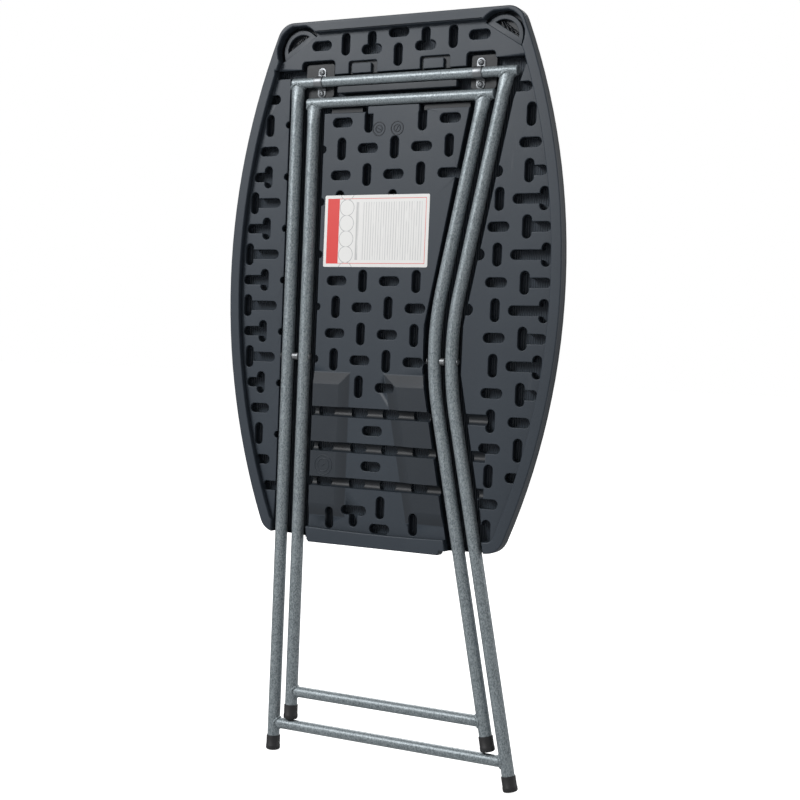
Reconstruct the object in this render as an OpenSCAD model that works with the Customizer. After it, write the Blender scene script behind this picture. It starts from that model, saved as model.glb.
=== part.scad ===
// Folding tray table: a blow-moulded top with two crossed tube frames
// that lie flat in channels in its underside. It stands folded, upright
// on the outer feet. X runs along the bars, Z is up and the underside
// faces -Y. The origin is on the floor, under the middle of the top.

/* [Top] */
// Length of the top, along Z when it is folded upright
top_length = 660; // [640:1:680]
// Width of the top at its middle
top_width = 468; // [466:1:472]
// Thickness of the top over the rim
top_thickness = 25.4; // [25:0.1:30]
// Radius of the bowed long sides
side_radius = 842; // [820:1:860]
// Radius of the four corners
corner_radius = 24; // [22:1:28]
// How far the lower end of the top bows out at its middle
end_bow = 4; // [3:0.5:5]
// Width of the rim on the underside
rim_width = 14; // [10:0.5:15]
// Height of the rim over the slotted face
rim_height = 8; // [6:0.5:9]
// Depth of the leg channels below the slotted face
channel_depth = 13; // [11:0.5:13.5]
// Wall thickness of the moulding round its hollow
wall = 2.2; // [1.8:0.1:2.4]

/* [Slots] */
// Distance between slot columns
column_pitch = 38.1; // [38:0.1:38.4]
// Distance between slot rows
row_pitch = 33.6; // [33.4:0.1:33.8]
// Length of one moulded slot
slot_length = 28.5; // [26:0.5:29]
// Width of one moulded slot
slot_width = 12; // [10:0.5:12.5]
// Depth of one moulded slot
slot_depth = 12; // [8:0.5:12.5]

/* [Frames] */
// Outside diameter of the leg tubes
leg_d = 15.9; // [15.5:0.1:16]
// Outside diameter of the bars across each frame
bar_d = 12.7; // [12:0.1:12.8]
// Outside diameter of the crossbars near the feet
cross_d = 14; // [13:0.1:14.4]
// Wall thickness of all tubes
tube_wall = 1.2; // [1:0.1:1.5]
// Height of the outer frame's top bar over the floor
outer_bar_z = 868; // [867.8:0.1:868.2]
// Height of the inner frame's top bar over the floor
inner_bar_z = 841.3; // [841:0.1:841.4]
// Height of the two pivot rivets over the floor
pivot_z = 515; // [512:1:518]
// Height of the outer frame's lower crossbar
outer_cross_z = 35.5; // [34:0.5:36]
// Height of the inner frame's lower crossbar
inner_cross_z = 80; // [78:0.5:81]
// Height of the inner feet over the floor
inner_foot_z = 43.5; // [43:0.5:45]
// Bend radius of the right-hand legs
bend_radius = 386; // [376:1:396]
// Lean of the bent legs above the pivots, in degrees
lean_up = 11.1; // [11:0.1:11.2]
// Lean of the bent legs below the pivots, in degrees
lean_down = 11.9; // [11.8:0.1:12]
// Outside diameter of the plastic feet
foot_d = 18.6; // [18.2:0.1:19]
// Height of the plastic feet
foot_h = 19; // [17:0.5:21]

/* [Hardware] */
// Distance of each hinge strap from the middle
strap_x = 112.5; // [112:0.5:113]
// Width of the hinge straps
strap_width = 11.5; // [11:0.5:12]
// Sheet thickness of the hinge straps
strap_t = 1.2; // [1:0.1:1.3]
// Distance of the strap screws from the bar's axis
screw_reach = 13.6; // [13.5:0.1:13.7]
// Diameter of the pivot rivets
rivet_d = 6.4; // [5:0.2:6.6]
// Running clearance of the pivot rivets in the inner legs
rivet_fit = 0.08; // [0.03:0.01:0.1]

/* [Hidden] */
$fn = 48;

// Where the faces lie across the thickness
face_y = (foot_d / 2 - top_thickness + rim_height) / 2;
rim_y = face_y - rim_height;
back_y = rim_y + top_thickness;
floor_y = face_y + channel_depth;
pad_depth = 6.6;
pad_y = face_y + pad_depth;
landing_h = 2.5;
dimple_y = face_y + 8;
corner_mid = [142.3, 910];
corner_rim = 5;
corner_r = 31.5;
corner_pad_r = 26.5;
dimple_r = 20.6;
crescent_y = face_y + 9;

// The top, in its own plane
top_mid_z = 615;
first_row_z = 815;
half_w = top_width / 2;
half_l = top_length / 2;
side_centre = side_radius - half_w;
end_radius = 2850;
end_centre = end_radius - half_l - end_bow;
big = 900;

// The frames: all tube axes lie in the plane of the slotted face
outer_left_x = -144.6;
inner_left_x = -119.4;
outer_bend = [83.9, 524.6];
inner_bend = [60.1, 529.3];
bar_r = bar_d / 2;
cross_r = cross_d / 2;
leg_r = leg_d / 2;
groove_rows = [446, 401, 356];
groove_r = 6.6;
groove_slots = [-86, -38, 7, 51.5];
tube_colour = "#b9bcc0";
fixed_fit = 0.02;
head_gap = 0.3;
bend_gap = 0.6;
spacer_d = 9.6;
screw_d = 4.2;
screw_depth = 6;
weld_depth = 1.5;
splice = 3;
splice_step = 0.1;
foot_sole = 3;
foot_edge = 2.5;
tip_rise = (foot_d / 2 - foot_edge) * sin(lean_down) + foot_edge * (1 - cos(lean_down));

function row_z(j) = first_row_z - j * row_pitch;
function column_x(i) = (i - 2) * column_pitch;

// Middle of a bend whose straight stretches would meet at the point p
half_turn = (lean_up + lean_down) / 2;
bisector = (lean_down - lean_up) / 2;
function bend_centre(p) =
    p + bend_radius / cos(half_turn) * [cos(bisector), sin(bisector)];

// X of a bent leg's axis at the height z, for a bend that points at p
function leg_x(p, z) =
    let (c = bend_centre(p))
    z > c[1] + bend_radius * sin(lean_up) ? p[0] + (z - p[1]) * tan(lean_up)
    : z < c[1] - bend_radius * sin(lean_down) ? p[0] + (p[1] - z) * tan(lean_down)
    : c[0] - sqrt(pow(bend_radius, 2) - pow(z - c[1], 2));

// Extrudes a flat sketch in X and Z from the depth y0 to y1
module across(y0, y1) {
    translate([0, y1, 0]) rotate([90, 0, 0]) linear_extrude(y1 - y0) children();
}

module box_2d(x0, z0, x1, z1) {
    translate([x0, z0]) square([x1 - x0, z1 - z0]);
}

module round_box_2d(x0, z0, x1, z1, r) {
    box_2d(x0 + r, z0, x1 - r, z1);
    box_2d(x0, z0 + r, x1, z1 - r);
    for (x = [x0 + r, x1 - r], z = [z0 + r, z1 - r]) {
        translate([x, z]) circle(r);
    }
}

// Point at the distance a from s and b from e, right of the way from s to e
function meet(s, a, e, b) =
    let (d = norm(e - s), k = (a * a - b * b + d * d) / (2 * d), n = (e - s) / d)
    s + k * n + sqrt(a * a - k * k) * [n[1], -n[0]];

// Outline of the top, moved inwards by inset. Its sides are arcs, its
// upper end is straight and its lower end bows out a little.
module outline_2d(inset) {
    side_mid = [-side_centre, 0];
    end_mid = [0, end_centre];
    r = corner_radius;
    high_z = half_l - r;
    high = [sqrt(pow(side_radius - r, 2) - pow(high_z, 2)) - side_centre, high_z];
    low = meet(side_mid, side_radius - r, end_mid, end_radius - r);
    reach = half_w;
    high_side = high + reach * (high - side_mid) / norm(high - side_mid);
    low_side = low + reach * (low - side_mid) / norm(low - side_mid);
    low_end = low + reach * (low - end_mid) / norm(low - end_mid);
    right = [[high[0], big], high, high_side, low_side, low, low_end];
    translate([0, top_mid_z]) {
        intersection() {
            translate(side_mid) circle(side_radius - inset, $fn = 180);
            translate(-side_mid) circle(side_radius - inset, $fn = 180);
            translate(end_mid) circle(end_radius - inset, $fn = 180);
            translate([-top_width, -big]) square([2 * top_width, big + half_l - inset]);
            polygon(concat(right, [for (k = [5:-1:0]) [-right[k][0], right[k][1]]]));
        }
        for (s = [-1, 1], c = [high, low]) {
            translate([s * c[0], c[1]]) circle(r - inset);
        }
    }
}

// A round-ended slot, lying along X or standing along Z
module slot_2d(x, z, upright, len = slot_length, grow = 0) {
    w = slot_width + 2 * grow;
    half = (len - slot_width) / 2;
    translate([x, z]) rotate(upright ? 90 : 0) {
        square([2 * half, w], center = true);
        for (s = [-half, half]) {
            translate([s, 0]) circle(w / 2, $fn = 24);
        }
    }
}

// Basket-weave field between the channels
module middle_slots(grow) {
    for (j = [0:9], i = [0:4]) {
        x = column_x(i);
        clear_of_bend = leg_x(inner_bend, row_z(j)) - leg_r > x + 14;
        if (clear_of_bend && !(i == 2 && j == 0)) {
            slot_2d(x, row_z(j), (i + j) % 2 == 1, grow = grow);
        }
    }
    for (i = [1, 2]) {
        slot_2d(column_x(i), row_z(10), i == 1, grow = grow);
    }
    for (z = groove_rows, x = groove_slots) {
        slot_2d(x, z, false, 24, grow);
    }
    slot_2d(-16, 424, false, grow = grow);
    slot_2d(-16, 379, false, grow = grow);
    slot_2d(column_x(0) + 3, 310, true, grow = grow);
    slot_2d(column_x(2), 328, true, grow = grow);
    slot_2d(column_x(2), 301, false, grow = grow);
    slot_2d(column_x(1), 322, false, 36, grow);
    slot_2d(column_x(1), 312, true, 22, grow);
    slot_2d(47.5, 311, true, grow = grow);
}

// Field between the right-hand channel and the rim
module right_slots(grow) {
    near = 146.8;
    far = 184.2;
    for (j = [3:15]) {
        slot_2d(near, row_z(j), j % 2 == 1, grow = grow);
    }
    slot_2d(far - 15, row_z(-1), false, grow = grow);
    slot_2d(far, row_z(0), true, grow = grow);
    slot_2d(far, row_z(1), false, grow = grow);
    slot_2d(far, row_z(11), false, grow = grow);
    slot_2d(far, row_z(12), true, grow = grow);
    slot_2d(far - 5, row_z(13), false, 20, grow);
    side_tees(far, 1, grow);
}

// Field between the left-hand channel and the rim
module left_slots(grow) {
    far = -185.5;
    slot_2d(far, row_z(-1), false, grow = grow);
    slot_2d(far, row_z(0), true, grow = grow);
    slot_2d(far, row_z(1), false, grow = grow);
    slot_2d(far, row_z(11), false, grow = grow);
    slot_2d(far, row_z(12), true, grow = grow);
    slot_2d(far + 7, row_z(13), false, 22, grow);
    slot_2d(far + 24, row_z(14), false, grow = grow);
    side_tees(far, -1, grow);
}

// Rows whose slots join in a T that reaches out to the rim
module side_tees(x, side, grow) {
    for (j = [2:10]) {
        bar_x = side * (sqrt(pow(side_radius, 2) - pow(row_z(j) - top_mid_z, 2))
            - side_centre - rim_width - slot_width / 2 - 3);
        reach = abs(bar_x - x);
        if (j % 2 == 0) {
            slot_2d(x, row_z(j), true, grow = grow);
            slot_2d((x + bar_x) / 2 + side * 1, row_z(j), false, reach + slot_width, grow);
        } else {
            slot_2d((x + bar_x) / 2 - side * 7, row_z(j), false, reach + 26, grow);
            slot_2d(bar_x, row_z(j), true, grow = grow);
        }
    }
}

// Slots in the end of the top above the hinge bar
module head_slots(grow) {
    for (side = [-1, 1]) {
        slot_2d(side * 111.5, 914.5, false, grow = grow);
        slot_2d(side * 76, 914.5, true, grow = grow);
        slot_2d(side * 38.1, 919, true, 20, grow);
        slot_2d(side * 38.1, 906, false, grow = grow);
    }
    slot_2d(0, 925, false, grow = grow);
    slot_2d(0, 897, true, grow = grow);
}

module slots_2d(grow = 0) {
    middle_slots(grow);
    right_slots(grow);
    left_slots(grow);
    head_slots(grow);
}

// Round pockets that meet the walls of the channels
module channel_pockets(grow = 0) {
    for (j = [0:2:12]) {
        translate([-157, row_z(j)]) circle(4.5 + grow, $fn = 24);
    }
    for (j = [1:2:9]) {
        translate([-104, row_z(j)]) circle(5 + grow, $fn = 24);
    }
    for (j = [2, 5, 7]) {
        translate([leg_x(outer_bend, row_z(j)) + 15, row_z(j)]) circle(7 + grow, $fn = 24);
    }
}

// The channels that both frames lie in, with the pockets round the straps
module channels_2d(grow = 0) {
    foot_z = 200;
    head_z = outer_bar_z + 9 + grow;
    cross_z = inner_bar_z - 14 - grow;
    box_2d(-156.4 - grow, foot_z, -103.6 + grow, head_z);
    polygon([
        [leg_x(inner_bend, foot_z) - 17 - grow, foot_z],
        [leg_x(inner_bend, 500) - 17 - grow, 500],
        [leg_x(inner_bend, 560) - 17 - grow, 560],
        [leg_x(inner_bend, head_z) - 17 - grow, head_z],
        [175 + grow, head_z],
        [leg_x(outer_bend, 834) + 15 + grow, 834],
        [leg_x(outer_bend, 560) + 12 + grow, 560],
        [leg_x(outer_bend, 500) + 12 + grow, 500],
        [leg_x(outer_bend, foot_z) + 12 + grow, foot_z]
    ]);
    box_2d(-110, cross_z, 115, head_z);
    box_2d(-176.6 - grow, 874.8 - grow, -130, 885.3 + grow);
    box_2d(134, 874.8 - grow, 175 + grow, 885.3 + grow);
    round_box_2d(-140 - grow, 840, -91 + grow, 895.5 + grow, 5);
    round_box_2d(95 - grow, 840, 134 + grow, 894 + grow, 5);
}

// Pads in the bar channel that carry the hinge straps
module strap_pads_2d() {
    round_box_2d(-137, 848.6, -94.5, 892.5, 4);
    round_box_2d(99, 848.6, 133.9, 891, 4);
}

// Grooves for the inner bar: the long ones and their stubs to the right
module grooves(grow = 0) {
    for (k = [0:2]) {
        z = groove_rows[k];
        groove(-107, leg_x(inner_bend, z) - 12, z, grow);
        groove(leg_x(outer_bend, z) + 6, [147, 142, 141.5][k], z, grow);
    }
}
module groove(x0, x1, z, grow) {
    translate([x0 - grow, face_y, z]) rotate([0, 90, 0])
    cylinder(r = groove_r + grow, h = x1 - x0 + 2 * grow);
}

// Raised pads beside the grooves, with a ramp on three of their sides:
// the edge of the inner ramp is edge_x at the middle groove, and leans
module landing(side, edge_x, lean, width) {
    ramp = 16;
    z0 = 311;
    z1 = 497;
    intersection() {
        translate([-half_w, 0, 0]) rotate([90, 0, 90]) linear_extrude(top_width) polygon([
            [face_y + 1, z0], [face_y, z0], [face_y - landing_h, z0 + ramp],
            [face_y - landing_h, z1 - ramp], [face_y, z1], [face_y + 1, z1]
        ]);
        translate([edge_x, 0, groove_rows[1]]) rotate([0, -lean, 0])
        translate([0, 0, -200]) linear_extrude(400) polygon([
            [0, face_y + 1], [0, face_y], [side * ramp, face_y - landing_h],
            [side * width, face_y - landing_h], [side * width, face_y + 1]
        ]);
    }
}

module head_pockets_2d(grow = 0) {
    for (x = [-50, 52]) {
        round_box_2d(x - 20.5 - grow, 866, x + 20.5 + grow, 892.5 + grow, 3);
    }
}
module head_pads_2d() {
    for (x = [-50, 52]) {
        round_box_2d(x - 16, 866, x + 12, 889.6, 2);
    }
}

// Part of a disc in each head corner, beyond a slanted line and inside the rim
module corner_2d(r, shift, grow = 0) {
    for (side = [-1, 1]) {
        intersection() {
            outline_2d(corner_rim - grow);
            translate([side * corner_mid[0], corner_mid[1]]) circle(r + grow, $fn = 72);
            polygon([
                [side * (119 + shift - grow), 928 + shift - grow],
                [side * (168 + shift - grow), 897 + shift - grow],
                [side * 300, 820], [side * 300, big + 100],
                [side * (119 + shift - grow), big + 100]
            ]);
        }
    }
}

// Fan of thin ribs that stand in each corner dimple
module dimple_ribs_2d() {
    for (side = [-1, 1], k = [-2:2]) {
        translate([side * (149 + 5 * k), 921 - 3.2 * k]) rotate(side * (-50 + 6 * k))
        square([14, 1.6], center = true);
    }
}

// Hollow of the moulding: what is left between the face and the back
module hollow_2d() {
    difference() {
        outline_2d(rim_width + wall);
        channels_2d(wall);
        slots_2d(wall);
        for (z = groove_rows) {
            box_2d(-half_w, z - groove_r - wall, 150, z + groove_r + wall);
        }
        head_pockets_2d(wall);
        channel_pockets(wall);
        corner_2d(corner_r, 0, wall);
    }
}

module tabletop() {
    color("#3b3e46") {
        difference() {
            union() {
                across(rim_y, back_y) outline_2d(0);
                lip();
            }
            difference() {
                across(rim_y - 1, face_y) outline_2d(rim_width);
                landing(-1, -50, 0, 60);
                landing(1, 17.5, lean_down, 80);
            }
            across(rim_y - 1, face_y + slot_depth) intersection() {
                slots_2d();
                outline_2d(rim_width);
            }
            across(face_y - 1, face_y + slot_depth) channel_pockets();
            across(rim_y - 1, floor_y) difference() {
                channels_2d();
                strap_pads_2d();
            }
            across(face_y - 1, pad_y) strap_pads_2d();
            grooves();
            across(face_y - 1, face_y + 4) difference() {
                head_pockets_2d();
                head_pads_2d();
            }
            across(rim_y - 1, crescent_y) difference() {
                corner_2d(corner_r, 0);
                corner_2d(corner_pad_r, -30);
            }
            across(rim_y - 1, face_y + 1.2) corner_2d(corner_r, 0);
            across(face_y, dimple_y - 3) corner_2d(dimple_r, 5);
            across(face_y, dimple_y) difference() {
                corner_2d(dimple_r, 5);
                dimple_ribs_2d();
            }
            screw_holes();
            across(face_y + wall, back_y - wall) hollow_2d();
        }
        bar_ribs();
    }
}

// Blind holes that the strap screws cut their thread in
module screw_holes() {
    for (x = [-strap_x, strap_x], s = [-1, 1]) {
        translate([x, pad_y + screw_depth + 0.2, outer_bar_z + s * screw_reach])
        rotate([90, 0, 0]) cylinder(d = screw_d + 2 * fixed_fit, h = screw_depth + 1);
    }
}

// Raised lip of the end rim between the two leg notches
module lip() {
    across(rim_y, face_y + 4) polygon([
        [-100, 292], [-102, 290], [-102, 280], [-99, 277],
        [86, 277], [88.5, 279.5], [88.5, 290], [86.5, 292]
    ]);
}

// Ribs and ledges that stand in the bar channel between the straps
module bar_ribs() {
    across(face_y - 2, floor_y + 1) round_box_2d(-85, 852.4, 84, 860.9, 2);
    across(face_y, floor_y + 1) round_box_2d(-40, 824.2, 33, 834.2, 2);
    across(face_y + 5, floor_y + 1) box_2d(-96, 826, -50, 834.2);
    across(face_y + 5, floor_y + 1) box_2d(37, 826, 101, 834.2);
}

module care_label() {
    color("white")
    across(face_y - 0.3, face_y) box_2d(-97, row_z(5) - 16, 53, row_z(3) + 8);
}

// A strap bent over the hinge bar, with a flat round-ended foot on each side
module strap(x) {
    inner_r = bar_r + 0.08;
    outer_r = inner_r + strap_t;
    color("silver")
    difference() {
        union() {
            translate([x - strap_width / 2, face_y, outer_bar_z])
            rotate([0, 90, 0]) difference() {
                union() {
                    cylinder(r = outer_r, h = strap_width);
                    translate([-outer_r, 0, 0])
                    cube([2 * outer_r, pad_depth, strap_width]);
                }
            }
            for (s = [-1, 1]) {
                across(pad_y - strap_t, pad_y) {
                    translate([x, outer_bar_z + s * screw_reach]) circle(strap_width / 2);
                    translate([x - strap_width / 2,
                        outer_bar_z + (s > 0 ? inner_r : -screw_reach)])
                    square([strap_width, screw_reach - inner_r]);
                }
            }
        }
        translate([x - strap_width, face_y, outer_bar_z]) rotate([0, 90, 0])
        cylinder(r = inner_r, h = 2 * strap_width);
        translate([x - strap_width, face_y, outer_bar_z - inner_r])
        cube([2 * strap_width, outer_r + 1, 2 * inner_r]);
        for (s = [-1, 1]) {
            translate([x, pad_y + 1, outer_bar_z + s * screw_reach]) rotate([90, 0, 0])
            cylinder(d = screw_d + 0.4, h = 4);
        }
    }
}
module strap_left() { strap(-strap_x); }
module strap_right() { strap(strap_x); }

// Two pan-head screws, with a cross recess in each head
module strap_screws(x) {
    head_h = 2.4;
    head_d = 7.6;
    color("gainsboro")
    for (s = [-1, 1]) {
        translate([x, pad_y - strap_t, outer_bar_z + s * screw_reach]) rotate([90, 0, 0])
        difference() {
            union() {
                cylinder(d = head_d, h = head_h * 0.6);
                translate([0, 0, head_h * 0.6])
                cylinder(d1 = head_d, d2 = head_d - 2.8, h = head_h * 0.4);
                translate([0, 0, -strap_t - screw_depth])
                cylinder(d = screw_d, h = strap_t + screw_depth);
            }
            for (a = [0, 90]) {
                rotate(a) translate([-2.2, -0.5, head_h - 1.3]) cube([4.4, 1, 2]);
            }
        }
    }
}
module strap_screws_left() { strap_screws(-strap_x); }
module strap_screws_right() { strap_screws(strap_x); }

// A straight tube along X between x0 and x1, closed by caps of the given thickness
module bar_tube(x0, x1, z, r, cap) {
    translate([x0, face_y, z]) rotate([0, 90, 0]) difference() {
        cylinder(r = r, h = x1 - x0);
        translate([0, 0, cap]) cylinder(r = r - tube_wall, h = x1 - x0 - 2 * cap);
    }
}
module outer_top_bar() { color(tube_colour) bar_tube(-152, 165, outer_bar_z, bar_r, 1.5); }
module inner_top_bar() { color(tube_colour) bar_tube(-128.5, 135, inner_bar_z, bar_r, 1.5); }

// A crossbar, its ends notched to sit against both legs
module crossbar(left_x, p, z) {
    color(tube_colour)
    difference() {
        bar_tube(left_x, leg_x(p, z), z, cross_r, -1);
        straight_rod(left_x, z - 2 * leg_d, z + 2 * leg_d, leg_r);
        lower_rod(p, leg_r, z + 2 * leg_d, z - 2 * leg_d);
    }
}
module outer_crossbar() { crossbar(outer_left_x, outer_bend, outer_cross_z); }
module inner_crossbar() { crossbar(inner_left_x, inner_bend, inner_cross_z); }

module straight_rod(x, z0, z1, r) {
    translate([x, face_y, z0]) cylinder(r = r, h = z1 - z0);
}

// The stretches of a bent leg: below its bend, in it and above it. The
// straight ones run on a little way inside the bend, which is a hair wider.
module lower_rod(p, r, z_top, z_end) {
    top = min(z_top, bend_centre(p)[1] - bend_radius * sin(lean_down));
    translate([leg_x(p, top), face_y, top]) rotate([0, 180 - lean_down, 0])
    translate([0, 0, -splice])
    cylinder(r = r, h = splice + (top - z_end) / cos(lean_down));
}
module bend_rod(p, r) {
    c = bend_centre(p);
    translate([c[0], face_y, c[1]]) rotate([90, 0, 0]) rotate(180 - lean_up)
    rotate_extrude(angle = lean_up + lean_down, $fn = 180)
    translate([bend_radius, 0]) circle(r + splice_step);
}
module upper_rod(p, r, z_end) {
    low = bend_centre(p)[1] + bend_radius * sin(lean_up);
    translate([leg_x(p, low), face_y, low]) rotate([0, lean_up, 0])
    translate([0, 0, -splice])
    cylinder(r = r, h = splice + (z_end - low) / cos(lean_up));
}
module bent_rod(p, r, z_end, z_top) {
    lower_rod(p, r, big, z_end);
    bend_rod(p, r);
    upper_rod(p, r, z_top);
}

// What the top bar leaves of a leg's upper end, where it is welded on
module weld_end(z_bar) {
    translate([-half_w, face_y, z_bar]) rotate([0, 90, 0])
    cylinder(r = bar_r, h = top_width);
    translate([-half_w, face_y - leg_d, z_bar - bar_r + weld_depth])
    cube([top_width, 2 * leg_d, 4 * leg_d]);
}

// Hole through a leg for its pivot rivet
module rivet_hole(x, fit) {
    translate([x - leg_d, face_y, pivot_z]) rotate([0, 90, 0])
    cylinder(d = rivet_d + 2 * fit, h = 2 * leg_d);
}

module left_leg(x, z_foot, z_bar, fit) {
    color(tube_colour)
    difference() {
        straight_rod(x, z_foot + foot_sole, z_bar, leg_r);
        straight_rod(x, z_foot, z_bar, leg_r - tube_wall);
        weld_end(z_bar);
        rivet_hole(x, fit);
    }
}
module right_leg(p, z_foot, z_bar, fit) {
    color(tube_colour)
    difference() {
        bent_rod(p, leg_r, z_foot + tip_rise + foot_sole * cos(lean_down), z_bar + leg_r);
        bent_rod(p, leg_r - tube_wall, z_foot, z_bar + 2 * leg_r);
        weld_end(z_bar);
        rivet_hole(leg_x(p, pivot_z), fit);
    }
}
module outer_left_leg() { left_leg(outer_left_x, 0, outer_bar_z, fixed_fit); }
module outer_right_leg() { right_leg(outer_bend, 0, outer_bar_z, fixed_fit); }
module inner_left_leg() { left_leg(inner_left_x, inner_foot_z, inner_bar_z, rivet_fit); }
module inner_right_leg() { right_leg(inner_bend, inner_foot_z, inner_bar_z, rivet_fit); }

// A plastic cap with a rounded sole, pushed over the end of a leg
module foot() {
    r = foot_d / 2;
    color("#1d1e20")
    rotate_extrude() difference() {
        union() {
            box_2d(0, 0, r - foot_edge, foot_h);
            box_2d(0, foot_edge, r, foot_h - 0.8);
            box_2d(0, foot_h - 0.9, r - 0.8, foot_h);
            translate([r - foot_edge, foot_edge]) circle(foot_edge);
        }
        box_2d(0, foot_sole, leg_r, foot_h + 1);
        box_2d(-r, -1, 0, foot_h + 1);
    }
}
module left_foot(x, z) { translate([x, face_y, z]) foot(); }
module right_foot(p, z) {
    translate([leg_x(p, z + tip_rise), face_y, z + tip_rise])
    rotate([0, -lean_down, 0]) foot();
}
module outer_left_foot() { left_foot(outer_left_x, 0); }
module outer_right_foot() { right_foot(outer_bend, 0); }
module inner_left_foot() { left_foot(inner_left_x, inner_foot_z); }
module inner_right_foot() { right_foot(inner_bend, inner_foot_z); }

// A rivet through both legs, from the face x0 to the face x1
module pivot_rivet(x0, x1) {
    head_r = 4.6;
    head_h = 2.2;
    ball_r = (pow(head_r, 2) + pow(head_h, 2)) / (2 * head_h);
    color("silver")
    translate([x0, face_y, pivot_z]) rotate([0, 90, 0]) {
        cylinder(d = rivet_d, h = x1 - x0);
        for (s = [0, 1]) {
            translate([0, 0, s * (x1 - x0)]) mirror([0, 0, 1 - s])
            rotate_extrude() intersection() {
                translate([0, head_h - ball_r]) circle(ball_r, $fn = 96);
                box_2d(0, 0, head_r + 1, head_h + 1);
            }
        }
    }
}
module pivot_rivet_left() {
    pivot_rivet(outer_left_x - leg_r, inner_left_x + leg_r + head_gap);
}
module pivot_rivet_right() {
    pivot_rivet(leg_x(inner_bend, pivot_z) - leg_r - bend_gap,
        leg_x(outer_bend, pivot_z) + leg_r + bend_gap);
}

// A sleeve on the rivet that keeps the two legs apart
module pivot_spacer(x0, x1) {
    color("silver")
    translate([x0, face_y, pivot_z]) rotate([0, 90, 0]) difference() {
        cylinder(d = spacer_d, h = x1 - x0);
        translate([0, 0, -1]) cylinder(d = rivet_d + 2 * fixed_fit, h = x1 - x0 + 2);
    }
}
module pivot_spacer_left() {
    pivot_spacer(outer_left_x + leg_r, inner_left_x - leg_r - head_gap);
}
module pivot_spacer_right() {
    pivot_spacer(leg_x(inner_bend, pivot_z) + leg_r + bend_gap,
        leg_x(outer_bend, pivot_z) - leg_r - bend_gap);
}

tabletop();
care_label();
strap_left();
strap_right();
strap_screws_left();
strap_screws_right();
outer_top_bar();
outer_left_leg();
outer_right_leg();
outer_crossbar();
outer_left_foot();
outer_right_foot();
pivot_rivet_left();
pivot_rivet_right();
pivot_spacer_left();
pivot_spacer_right();
inner_top_bar();
inner_left_leg();
inner_right_leg();
inner_crossbar();
inner_left_foot();
inner_right_foot();
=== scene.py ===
import bpy
import bmesh
import math
import numpy as np
from mathutils import Matrix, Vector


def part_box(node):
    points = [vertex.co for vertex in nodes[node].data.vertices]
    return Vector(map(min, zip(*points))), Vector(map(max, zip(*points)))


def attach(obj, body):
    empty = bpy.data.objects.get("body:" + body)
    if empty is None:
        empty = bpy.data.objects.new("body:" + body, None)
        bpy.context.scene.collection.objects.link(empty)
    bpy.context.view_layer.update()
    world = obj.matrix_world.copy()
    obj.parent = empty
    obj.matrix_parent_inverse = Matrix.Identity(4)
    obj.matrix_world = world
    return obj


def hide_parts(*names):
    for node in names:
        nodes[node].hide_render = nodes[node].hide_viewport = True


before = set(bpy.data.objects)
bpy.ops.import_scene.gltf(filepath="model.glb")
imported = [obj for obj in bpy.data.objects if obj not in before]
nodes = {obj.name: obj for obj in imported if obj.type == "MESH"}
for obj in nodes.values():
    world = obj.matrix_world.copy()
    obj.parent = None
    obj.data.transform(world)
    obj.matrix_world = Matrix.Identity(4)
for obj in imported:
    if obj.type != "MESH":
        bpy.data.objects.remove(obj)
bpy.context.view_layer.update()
print("frame loaded with", len(nodes), "parts")

# Places shared by several pieces, in metres, all read from the frame
topLow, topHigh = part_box("tabletop")
legLow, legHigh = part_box("outer_left_leg")
barLow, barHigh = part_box("outer_top_bar")
rimY = topLow.y                                  # front face of the rim
backY = topHigh.y                                # the surface that things stand on
faceY = (legLow.y + legHigh.y) / 2               # slotted face, and the plane of all tube axes
legRadius = (legHigh.x - legLow.x) / 2
barRadius = (barHigh.z - barLow.z) / 2


# The camera looks at the slotted underside from its right-hand side
view = {
    "focal": 66.15, "sensor": 36.0, "clipEnd": 60,
    "place": (0.8762, faceY - 1.627, 0.510),
    "right": (0.8843, 0.4651, 0.0405),
    "up": (-0.0487, 0.0019, 0.9989),
}


def aimedObject(name, data, right, up, place):
    # a camera or lamp that looks along the negative of right x up
    item = bpy.data.objects.new(name, data)
    bpy.context.scene.collection.objects.link(item)
    columns = np.stack([right, up, np.cross(right, up), place], axis=1)
    item.matrix_world = Matrix([*columns.tolist(), [0, 0, 0, 1]])
    return item


def unit(vector):
    return np.array(vector) / np.linalg.norm(vector)


def makeCamera():
    data = bpy.data.cameras.new("view")
    data.lens = view["focal"]
    data.sensor_width = view["sensor"]
    data.clip_end = view["clipEnd"]
    right = unit(view["right"])
    up = np.array(view["up"])
    up = unit(up - right * right.dot(up))        # square to the right-hand direction
    bpy.context.scene.camera = aimedObject("view", data, right, up, view["place"])


lamps = {
    "key": {"at": (-1.45, -2.3, 2.1), "size": 1.1, "power": 72},
    "fill": {"at": (2.4, -1.8, 1.4), "size": 2.2, "power": 7},
    "rear": {"at": (-1.0, 2.4, 1.8), "size": 1.8, "power": 40},
    "side": {"at": (2.6, 1.8, 1.6), "size": 1.8, "power": 26},
}


def makeLamps():
    aim = np.array([0.0, 0.0, (topLow.z + topHigh.z) / 2])
    for name, lamp in lamps.items():
        data = bpy.data.lights.new(name, "AREA")
        data.size = lamp["size"]
        data.energy = lamp["power"]
        away = unit(lamp["at"] - aim)
        side = unit(np.cross([0, 0, 1], away))
        aimedObject(name, data, side, np.cross(away, side), lamp["at"])


room = {
    "seen": 1.0, "given": 0.27,                  # backdrop strength to the camera, and as light
    "shade": 0.55, "roughness": 0.9, "floorGlow": 0.94, "floorHalf": 40.0,
}


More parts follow.
